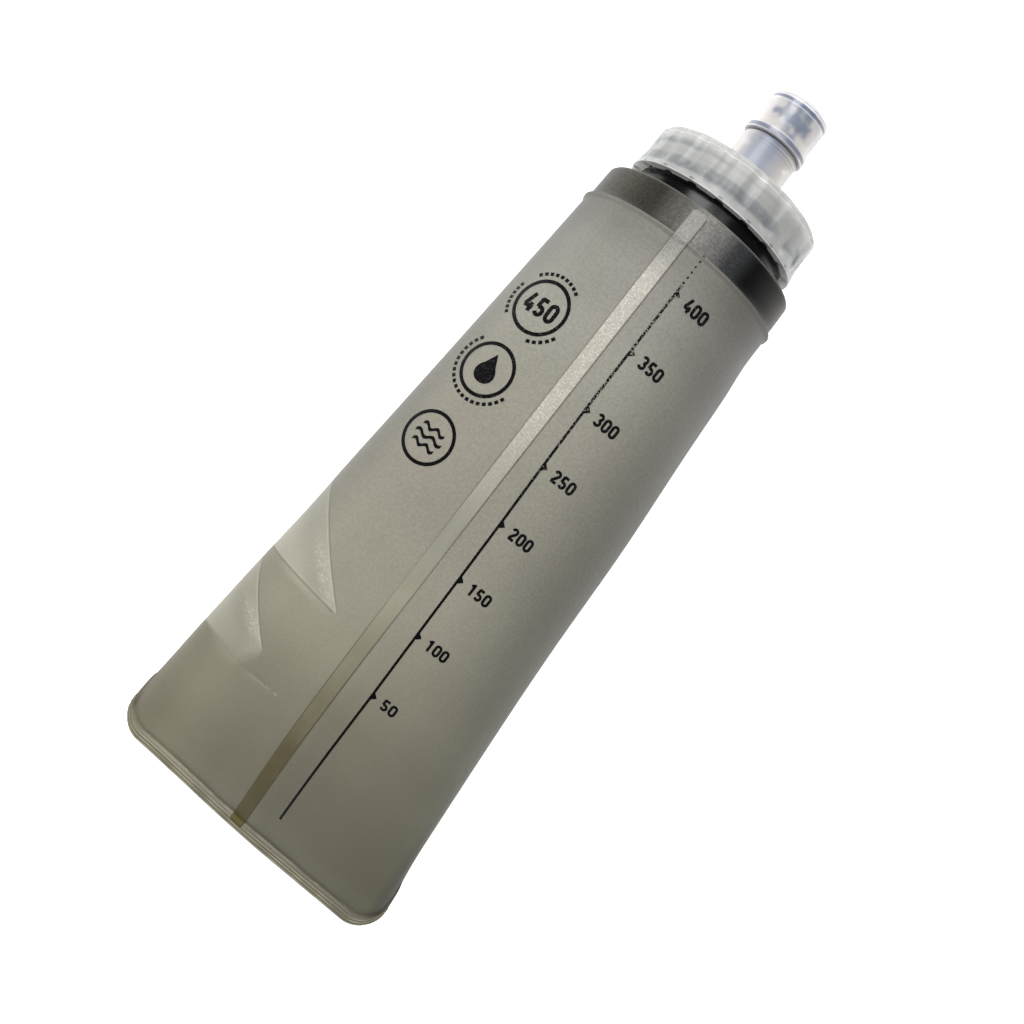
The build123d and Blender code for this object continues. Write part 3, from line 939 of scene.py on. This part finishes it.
def make_film_bag():
    """The film starts as a flat sheet, is rolled to a tube of constant girth, and is welded flat below."""
    top_shares, back_shares = half_girth_places()
    rows = film_rows()
    columns = len(top_shares) + len(back_shares) - 1
    half = len(back_shares) // 2
    bag = sheet_grid("film_bag", columns, len(rows))
    points = []
    for down in rows:
        a, b, centre = (float(v) for v in section(np.array(down)))
        upper = ellipse_angles(a, b, top_shares)
        under = pi + ellipse_angles(a, b, back_shares)
        angles = np.concatenate([under[half:-1] - 2 * pi, upper, under[1:half + 1]])
        x = a * np.cos(angles)
        z = centre + b * np.sin(angles)
        rise = np.clip(np.sin(angles) * 1.6, 0, 1)
        downs = np.full_like(x, down)
        z = z + rise * (ripple(x, downs) - dent(x, downs))
        z = z + np.sign(np.sin(angles)) * weld_lines(downs)
        x = x + side_drift(downs, x) * (x / a) ** 3 * np.sign(x) * smooth(BAG_LENGTH, 170, down)
        y = LIP_Y - drawn_in(x, downs)
        points.append(np.stack([x, y, z], axis=1))
    lay(bag, np.concatenate(points))
    outward(bag)
    apply_modifier(bag, "SOLIDIFY", thickness=FILM * MM, offset=-1.0)
    smooth_shading(bag, 40)
    dress(bag, smoke_film())
    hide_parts("film_upper", "film_lower")
    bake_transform(bag)
    return bag


def make_seam_tape():
    """A flat strip laid over the seam, with rounded ends."""
    tape_end = BAG_END + 1.4
    rows = np.concatenate([np.linspace(TAPE_TOP, TAPE_TOP + TAPE_ROUND, 10), np.linspace(3.2, 12, 24),
                           np.linspace(12.6, tape_end - 0.8, 180), [tape_end - 0.3, tape_end]])
    shares = np.linspace(-1, 1, 13)
    tape = sheet_grid("seam_tape", len(shares), len(rows))
    points = []
    for down in rows:
        from_top = min(1.0, (down - TAPE_TOP) / TAPE_ROUND)
        from_end = min(1.0, (tape_end - down) / 0.8)
        narrow = sqrt(1 - (1 - from_top) ** 2 * 0.75) * sqrt(1 - (1 - from_end) ** 2 * 0.3)
        x = tape_centre(down) + TAPE_HALF_WIDTH * narrow * shares
        downs = np.full_like(x, down)
        crown = 0.06 * (1 - shares ** 4)
        z = top_height(x, downs) + TAPE_LIFT + crown + weld_lines(downs)
        y = LIP_Y - drawn_in(x, downs)
        points.append(np.stack([x, y, z], axis=1))
    lay(tape, np.concatenate(points))
    outward(tape)
    face_up(tape)
    apply_modifier(tape, "SOLIDIFY", thickness=TAPE_THICK * MM, offset=1.0)
    apply_modifier(tape, "BEVEL", width=0.08 * MM, segments=2, limit_method="ANGLE",
                   angle_limit=radians(50))
    smooth_shading(tape, 40)
    dress(tape, seam_tape_film())
    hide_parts("seam_tape_upper", "seam_tape_lower")
    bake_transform(tape)
    return tape


def face_up(piece):
    """Turn a thin upward-lying sheet so that its faces look up."""
    if sum(face.normal.z * face.area for face in piece.data.polygons) < 0:
        work_on(piece)
        bpy.ops.object.mode_set(mode="EDIT")
        bpy.ops.mesh.select_all(action="SELECT")
        bpy.ops.mesh.flip_normals()
        bpy.ops.object.mode_set(mode="OBJECT")


# ---------------------------------------------------------------- print

# Millilitres, and the mark's places across and below the lip
MARKS = [(400, 6.19, 20.27), (350, 6.22, 37.55), (300, 6.31, 54.97), (250, 6.66, 72.36),
         (200, 7.14, 90.18), (150, 7.48, 107.83), (100, 7.78, 126.22), (50, 8.07, 146.64)]
LINE_START = 17.6
LINE_END = 194.9
LINE_WIDTH = 0.68
LINE_LEFT = 5.0
LINE_RIGHT = 7.6


def line_x(down):
    """The scale's line leans away from the tape on its way down."""
    return float(np.interp(down, [mark[2] for mark in MARKS], [mark[1] for mark in MARKS]))


def flat_patch(corners):
    """A flat polygon from (across, down) corners: a filled circle primitive with its corners moved."""
    deselect()
    bpy.ops.mesh.primitive_circle_add(vertices=len(corners), radius=1, fill_type="NGON")
    patch = bpy.context.object
    for vertex, (x, down) in zip(patch.data.vertices, corners):
        vertex.co = (x, -down, 0)
    return patch


def flat_ring(x, down, radius, width, start=0.0, turn=360.0):
    """A ring or an arc of a ring, lying flat."""
    steps = max(4, int(turn / 6))
    angles = [radians(start + turn * i / steps) for i in range(steps + 1)]
    ring = sheet_grid("ring", 2, steps + 1)
    points = []
    for angle in angles:
        for r in (radius - width / 2, radius + width / 2):
            points.append((x + r * sin(angle), -down + r * cos(angle), 0))
    lay(ring, np.array(points) / MM)
    return ring


def curve(x, y, width, height, start, end, steps=12):
    """Points along a stretch of an ellipse, from one angle to another."""
    angles = [radians(start + (end - start) * i / steps) for i in range(steps + 1)]
    return [(x + width * cos(angle), y + height * sin(angle)) for angle in angles]


# Pen strokes of the numerals, one unit high
PEN = 0.21
NUMERAL_WIDTH = 0.58
NUMERAL_PITCH = 0.68
NUMERALS = {
    "0": [curve(0.29, 0.7, 0.2, 0.2175, 0, 180) + curve(0.29, 0.3, 0.2, 0.2175, 180, 360) + [(0.49, 0.7)]],
    "1": [[(0.33, 0.0), (0.33, 1.0)], [(0.35, 0.93), (0.1, 0.745)]],
    "2": [curve(0.285, 0.715, 0.195, 0.2025, 172, -38) + [(0.115, 0.13)], [(0.06, 0.0825), (0.53, 0.0825)]],
    "3": [curve(0.28, 0.72, 0.19, 0.1975, 158, -90), curve(0.28, 0.3, 0.205, 0.2175, 90, -160)],
    "4": [[(0.34, 1.0), (0.085, 0.29)], [(0.045, 0.27), (0.57, 0.27)], [(0.42, 0.5), (0.42, 0.0)]],
    "5": [[(0.49, 0.9175), (0.11, 0.9175)], [(0.145, 0.95), (0.115, 0.46)],
          curve(0.28, 0.3, 0.2, 0.2175, 135, -152)],
}


def stroke(points, width):
    """A flat strip of one width along a path of (across, up) points."""
    strip = sheet_grid("stroke", 2, len(points))
    places = []
    for i, point in enumerate(points):
        before = Vector(points[max(i - 1, 0)])
        after = Vector(points[min(i + 1, len(points) - 1)])
        if i == len(points) - 1 and points[0] == point:
            after = Vector(points[1])
        if i == 0 and points[-1] == point:
            before = Vector(points[-2])
        side = (after - before).normalized().orthogonal() * width / 2
        for edge in (Vector(point) - side, Vector(point) + side):
            places.append((edge.x, edge.y, 0))
    lay(strip, np.array(places) / MM)
    return strip


def flat_number(digits, left, down, height, width):
    """Upright numerals fitted to a width, with their middle at a place below the lip."""
    strips = []
    scale = width / (NUMERAL_PITCH * (len(digits) - 1) + NUMERAL_WIDTH)
    for index, digit in enumerate(digits):
        start = left + NUMERAL_PITCH * index * scale
        for path in NUMERALS[digit]:
            points = [(start + x * scale, height * (y - 0.5) - down) for x, y in path]
            strips.append(stroke(points, PEN * height))
    return strips


def print_on_film(name, patches, body, x_range):
    """Cut the flat print into narrow strips, wrap it over the bag and give it the ink's thickness.

    With no body named, the print's place is baked into its mesh and it is attached to no body.
    """
    piece = join(name, patches)
    bpy.ops.object.mode_set(mode="EDIT")
    for x in np.arange(x_range[0], x_range[1], STRIP_ACROSS):
        bpy.ops.mesh.select_all(action="SELECT")
        bpy.ops.mesh.bisect(plane_co=(x, 0, 0), plane_no=(1, 0, 0))
    for down in np.arange(2.0, 200.0, STRIP_DOWN):
        bpy.ops.mesh.select_all(action="SELECT")
        bpy.ops.mesh.bisect(plane_co=(0, -down, 0), plane_no=(0, 1, 0))
    bpy.ops.mesh.select_all(action="SELECT")
    bpy.ops.mesh.quads_convert_to_tris()
    bpy.ops.object.mode_set(mode="OBJECT")
    face_up(piece)
    flat = np.empty(len(piece.data.vertices) * 3)
    piece.data.vertices.foreach_get("co", flat)
    x, y, _ = flat.reshape(-1, 3).T
    down = -y
    z = top_height(x, down) + INK_LIFT
    lay(piece, np.stack([x, LIP_Y - down, z], axis=1))
    apply_modifier(piece, "SOLIDIFY", thickness=INK_THICK * MM, offset=1.0)
    dress(piece, ink())
    if body:
        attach(piece, body)
    else:
        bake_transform(piece)
    return piece


def make_printed_scale():
    """Six dots, the line with its pointed marks, and the capacity at each mark."""
    patches = []
    half = LINE_WIDTH / 2
    for i in range(6):
        patches.append(flat_patch(disc(6.15, 9.3 + 1.55 * i, 0.3)))
    downs = [LINE_START] + [mark[2] for mark in MARKS] + [LINE_END]
    for upper, lower in zip(downs[:-1], downs[1:]):
        x0, x1 = line_x(upper), line_x(lower)
        corners = [(x0 - half, upper), (x0 + half, upper), (x1 + half, lower), (x1 - half, lower)]
        patches.append(flat_patch(corners))
    for millilitres, x, down in MARKS:
        patches.append(flat_patch([(x - 0.3, down - 1.65), (x + 1.5, down), (x - 0.3, down + 1.65)]))
        height = 3.5 - 0.25 * (400 - millilitres) / 350
        width = 6.6 if millilitres >= 100 else 4.6
        left = x + 3.3 if millilitres < 400 else 9.5
        patches += flat_number(str(millilitres), left, down, height, width)
    return print_on_film("printed_scale", patches, None, (5.0, 17.5))


def disc(x, down, radius, corners=10):
    """Corners of a round dot."""
    return [(x + radius * cos(2 * pi * i / corners), down + radius * sin(2 * pi * i / corners))
            for i in range(corners)]


# Round badges: places across and below the lip
VOLUME_BADGE = (-18.35, 41.8)
DROP_BADGE = (-19.75, 61.9)
WAVE_BADGE = (-21.3, 84.5)
RING_RADIUS = 7.0
RING_WIDTH = 0.95
DASH_RADIUS = RING_RADIUS + 2.0
DASH_WIDTH = 0.9
DASH_SHARE = 0.62            # of each dash's pitch that is inked
WAVE_WIDTH = 0.94


def dashes(badge, start, turn, count):
    """Short arcs in a row round a badge's ring."""
    pitch = turn / count
    return [flat_ring(*badge, DASH_RADIUS, DASH_WIDTH, start + pitch * i, pitch * DASH_SHARE)
            for i in range(count)]


def drop(x, down, radius=2.9):
    """Corners of a water drop: a round foot drawn up to a point."""
    foot = [(x + radius * sin(a) * (1 - 0.12 * cos(a)), down + 0.9 - radius * cos(a))
            for a in np.linspace(radians(42), radians(318), 28)]
    return [(x, down - 4.6)] + foot


def wave(x, down, reach, steps=28):
    """One wavy water line, drawn as a strip."""
    strip = sheet_grid("wave", 2, steps + 1)
    half = WAVE_WIDTH / 2
    points = []
    for q in np.linspace(-1, 1, steps + 1):
        middle = -down + 0.55 * sin(q * 2 * pi)
        points += [(x + q * reach, middle - half, 0), (x + q * reach, middle + half, 0)]
    lay(strip, np.array(points) / MM)
    return strip


def make_printed_icons():
    """Three round badges beside the scale: the volume, a drop and waves."""
    badges = (VOLUME_BADGE, DROP_BADGE, WAVE_BADGE)
    patches = [flat_ring(*badge, RING_RADIUS, RING_WIDTH) for badge in badges]
    patches += flat_number("450", VOLUME_BADGE[0] - 4.75, VOLUME_BADGE[1], 5.0, 9.5)
    patches += dashes(VOLUME_BADGE, -42, 84, 9)
    patches += dashes(VOLUME_BADGE, 118, 52, 5)
    patches += dashes(VOLUME_BADGE, 232, 62, 7)
    patches += dashes(DROP_BADGE, 112, 206, 20)
    patches.append(flat_patch(drop(*DROP_BADGE)))
    x, down = WAVE_BADGE
    for shift, reach in ((-2.4, 3.6), (0.0, 4.4), (2.4, 3.6)):
        patches.append(wave(x, down + shift, reach))
    return print_on_film("printed_icons", patches, "flask", (-31.0, -8.0))


# ---------------------------------------------------------------- collar, cap and spout


def make_collar():
    """Skirt inside the film, shoulder, and a neck with a two-start thread."""
    body = turned("collar_moulding", [
        (SKIRT_RADIUS, 0.5 - SKIRT_LENGTH), (SKIRT_RADIUS, -0.55), (SKIRT_RADIUS - 0.45, 0.0),
        (24.6, 0.0), (24.3, 0.35), (23.5, 0.6), (NECK_RADIUS, 1.1), (NECK_RADIUS, 4.4), (22.95, NECK_BASE),
        (THREAD_CORE, NECK_BASE), (THREAD_CORE, NECK_HEIGHT - 0.4), (THREAD_CORE - 0.4, NECK_HEIGHT),
        (NECK_BORE, NECK_HEIGHT), (NECK_BORE, -2.0), (27.4, -2.0), (27.4, 0.5 - SKIRT_LENGTH)], 192, 0.15)
    ridge = thread("neck_thread", THREAD_CORE, True, THREAD_START)
    collar = join("collar_moulding", [body, ridge])
    smooth_shading(collar)
    dress(collar, black_moulding())
    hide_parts("collar")
    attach(collar, "flask")


def round_the_cap(vertex):
    """A vertex's radius, its place along the axis, and its turn about the axis counted in flutes."""
    across = vertex.co.x / MM
    up = vertex.co.z / MM - AXIS_Z
    turn = np.arctan2(-up, across) * FLUTES / (2 * pi)
    return sqrt(across ** 2 + up ** 2), vertex.co.y / MM - LIP_Y, turn


def from_nearest(turn):
    """Distance round the cap's side from the nearest whole flute."""
    return abs(turn - round(turn)) * 2 * pi / FLUTES * CAP_RADIUS


def press_flutes(cap):
    """Eighteen round-footed finger grooves pressed into the cap's side."""
    centre = CAP_RADIUS + FLUTE_RADIUS - FLUTE_DEPTH
    for vertex in cap.data.vertices:
        radius, s, turn = round_the_cap(vertex)
        if radius < CAP_RADIUS - 1.35 or s < CAP_BOTTOM + 0.3:
            continue
        foot = max(0.0, CAP_BOTTOM + 3.8 - s)
        reach = sqrt(from_nearest(turn) ** 2 + foot ** 2)
        if reach < FLUTE_RADIUS:
            floor = centre - sqrt(FLUTE_RADIUS ** 2 - reach ** 2)
            scale = min(radius, floor) / radius
            vertex.co.x *= scale
            vertex.co.z = AXIS_Z * MM + (vertex.co.z - AXIS_Z * MM) * scale


def cut_notches(cap):
    """Small notches round the lower rim, between the flutes."""
    for vertex in cap.data.vertices:
        radius, s, turn = round_the_cap(vertex)
        if from_nearest(turn - 0.5) < 1.5 and radius < CAP_RADIUS - 0.6 and s < CAP_BOTTOM + 0.1:
            vertex.co.y += 0.4 * MM


def make_cap():
    """Cup with a flared lower rim, a fine line under its top edge, and the thread inside."""
    rings = [(CAP_INNER, CAP_BOTTOM), (24.35, CAP_BOTTOM), (25.5, CAP_BOTTOM), (25.82, 5.12), (25.9, 5.45)]
    rings += [(25.9 - 0.7 * q, 5.45 + 4.55 * q) for q in (0.2, 0.4, 0.6, 0.7, 0.8, 0.9, 1.0)]
    rings += [(CAP_RADIUS, s) for s in (11.5, 13.0, 14.5, 15.6)]
    rings += [(CAP_RADIUS - 0.12, CAP_LINE), (CAP_RADIUS, CAP_LINE + 0.25)]
    rings += [(24.0 + 1.2 * cos(a), 16.3 + 1.2 * sin(a)) for a in np.linspace(0.15, pi / 2, 6)]
    rings += [(22.6, CAP_TOP), (22.3, CAP_TOP - 0.25), (21.9, CAP_TOP - 0.25), (21.6, CAP_TOP)]
    rings += [(11.2, CAP_TOP), (10.6, CAP_TOP + 0.25), (9.0, CAP_TOP + 0.25), (CAP_HOLE, CAP_TOP - 0.05)]
    rings += [(CAP_HOLE, CAP_CEILING), (CAP_INNER - 0.5, CAP_CEILING), (CAP_INNER, CAP_CEILING - 0.5)]
    body = turned("cap_moulding", rings, FLUTES * 16, 0)
    press_flutes(body)
    cut_notches(body)
    ridge = thread("cap_thread", CAP_INNER, False, THREAD_START + THREAD_LEAD / 4)
    cap = join("cap_moulding", [body, ridge])
    smooth_shading(cap, 50)
    dress(cap, milky_plastic())
    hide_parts("cap")
    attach(cap, "screw_cap")


def make_stem():
    """Flanged tube with a grooved piston head that the mouthpiece slides on."""
    stem = turned("stem_tube", [
        (STEM_BORE, STEM_BOTTOM), (11.5, STEM_BOTTOM), (11.5, STEM_FLANGE), (STEM_RADIUS, STEM_FLANGE),
        (STEM_RADIUS, STEM_SHOULDER - 0.4), (STEM_RADIUS - 0.4, STEM_SHOULDER), (STEM_BORE, STEM_SHOULDER),
        (STEM_BORE, PISTON_BOTTOM), (PISTON_RADIUS, PISTON_BOTTOM), (PISTON_RADIUS, GROOVE_BOTTOM),
        (GROOVE_RADIUS, GROOVE_BOTTOM), (GROOVE_RADIUS, GROOVE_TOP), (PISTON_RADIUS, GROOVE_TOP),
        (PISTON_RADIUS, PISTON_TOP - 0.3), (PISTON_RADIUS - 0.3, PISTON_TOP),
        (POST_BORE, PISTON_TOP), (POST_BORE, 29.3), (STEM_BORE, 27.3)], 160, 0.12)
    smooth_shading(stem)
    dress(stem, clear_stem())
    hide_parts("stem")
    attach(stem, "screw_cap")


def make_valve_plug():
    """Post with a mushroom head, standing in the stem on three ribs."""
    foot = STEM_SHOULDER - 1.0
    head = MOUTH_TOP - 0.6 - 3.2
    post = turned("valve_plug_post", [
        (0.4, foot), (3.0, foot), (3.0, head - 4.0), (2.7, head - 3.2), (1.9, head - 1.6),
        (1.8, head - 1.0), (1.8, head), (4.2, head), (4.8, head + 1.0), (4.8, head + 2.8),
        (4.4, head + 3.2), (0.4, head + 3.2)], 96, 0.12)
    ribs = []
    for index in range(3):
        deselect()
        angle = 2 * pi / 3 * (index + 0.25)
        bpy.ops.mesh.primitive_cube_add(size=1, location=(0, 0, 0))
        rib = bpy.context.object
        rib.scale = (4.8 * MM, 3.0 * MM, 1.2 * MM)
        rib.rotation_euler = (0, angle, 0)
        centre = on_axis(foot + 1.5) + Vector((cos(angle), 0, -sin(angle))) * 2.4 * MM
        rib.location = centre
        settle(rib)
        apply_modifier(rib, "BEVEL", width=0.2 * MM, segments=3)
        ribs.append(rib)
    plug = join("valve_plug_post", [post] + ribs)
    smooth_shading(plug)
    dress(plug, rubber("blue_grey_plug", tint(104, 112, 140), tint(136, 142, 166)))
    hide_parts("valve_plug")
    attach(plug, "screw_cap")


def make_mouthpiece():
    """Sliding sleeve with a rounded foot ring and a rounded lip."""
    foot = [(6.88, 0.3), (7.18, 0.0), (8.95, 0.0), (9.2, 0.2), (9.25, 0.6), (9.25, 1.9), (9.1, 2.6),
            (8.75, 3.5), (MOUTH_RADIUS, 4.3)]
    rings = [(radius, MOUTH_BOTTOM + s) for radius, s in foot] + [(MOUTH_RADIUS, MOUTH_TOP - LIP_ROUND)]
    for angle in np.linspace(0.2, pi / 2, 7):
        rings.append((MOUTH_RADIUS - LIP_ROUND * (1 - cos(angle)), MOUTH_TOP - LIP_ROUND * (1 - sin(angle))))
    rings += [(5.3, MOUTH_TOP), (4.92, MOUTH_TOP - 0.3), (4.86, MOUTH_TOP - 1.6), (6.8, MOUTH_TOP - 1.6),
              (7.3, MOUTH_TOP - 2.1), (7.3, MOUTH_BOTTOM + 1.0), (6.88, MOUTH_BOTTOM + 1.0)]
    mouthpiece = turned("mouthpiece_sleeve", rings, 160, 0.1)
    smooth_shading(mouthpiece)
    dress(mouthpiece, clear_sleeve())
    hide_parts("mouthpiece")
    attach(mouthpiece, "push_pull")


# ---------------------------------------------------------------- studio

CAMERA_PLACE = (28.2, -3.3, 360.2)
CAMERA_LENS = 43.95


def look_through_camera():
    """Nearly straight down, turned so that the mouthpiece points to the upper right."""
    camera = bpy.data.objects.new("camera", bpy.data.cameras.new("camera"))
    bpy.context.scene.collection.objects.link(camera)
    camera.data.sensor_width = 36
    camera.data.lens = CAMERA_LENS
    camera.data.clip_start = 0.01
    tilt = (Matrix.Rotation(radians(-0.72), 3, "Z") @ Matrix.Rotation(radians(-3.77), 3, "Y")
            @ Matrix.Rotation(radians(0.22), 3, "X"))
    turn = tilt.transposed() @ Matrix.Rotation(radians(38), 3, "Z")
    camera.matrix_world = Matrix.Translation(Vector(CAMERA_PLACE) * MM) @ turn.to_4x4()
    bpy.context.scene.camera = camera


def soft_lamp(name, place, aim, size, watts):
    """A round soft light at a place, turned towards its aim."""
    lamp = bpy.data.objects.new(name, bpy.data.lights.new(name, "AREA"))
    bpy.context.scene.collection.objects.link(lamp)
    lamp.data.shape = "DISK"
    lamp.data.size = size
    lamp.data.energy = watts
    lamp.location = place
    lamp.rotation_euler = (Vector(aim) - Vector(place)).to_track_quat("-Z", "Y").to_euler()


def light_the_studio():
    """A dim bluish-white surround, three soft lamps and the white floor."""
    world = bpy.data.worlds.new("studio")
    bpy.context.scene.world = world
    world.use_nodes = True
    world.node_tree.nodes["Background"].inputs["Color"].default_value = (0.97, 0.985, 1.0, 1)
    world.node_tree.nodes["Background"].inputs["Strength"].default_value = 0.30
    soft_lamp("window_lamp", (-0.4, 0.5, 0.8), (0, 0, 0.02), 0.5, 6.6)
    soft_lamp("top_lamp", (0.14, 0.24, 0.8), (0, 0, 0.02), 0.35, 1.9)
    soft_lamp("neck_lamp", (-0.1, 0.33, 0.9), (0, 0.09, 0.04), 0.1, 1.6)
    bpy.context.scene.view_settings.view_transform = "Standard"
    deselect()
    bpy.ops.mesh.primitive_plane_add(size=6, location=(0, 0, -0.0004))
    floor = bpy.context.object
    floor.name = "studio_floor"
    dress(floor, studio_floor())


look_through_camera()
light_the_studio()
make_film_bag()
make_seam_tape()
make_printed_scale()
make_printed_icons()
make_collar()
make_cap()
make_stem()
make_valve_plug()
make_mouthpiece()
dress(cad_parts["cap_gasket"], rubber("white_silicone", tint(214, 216, 214), tint(232, 233, 230)))
dress(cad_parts["stem_o_ring"], rubber("dark_rubber", tint(92, 98, 120), tint(116, 122, 144)))
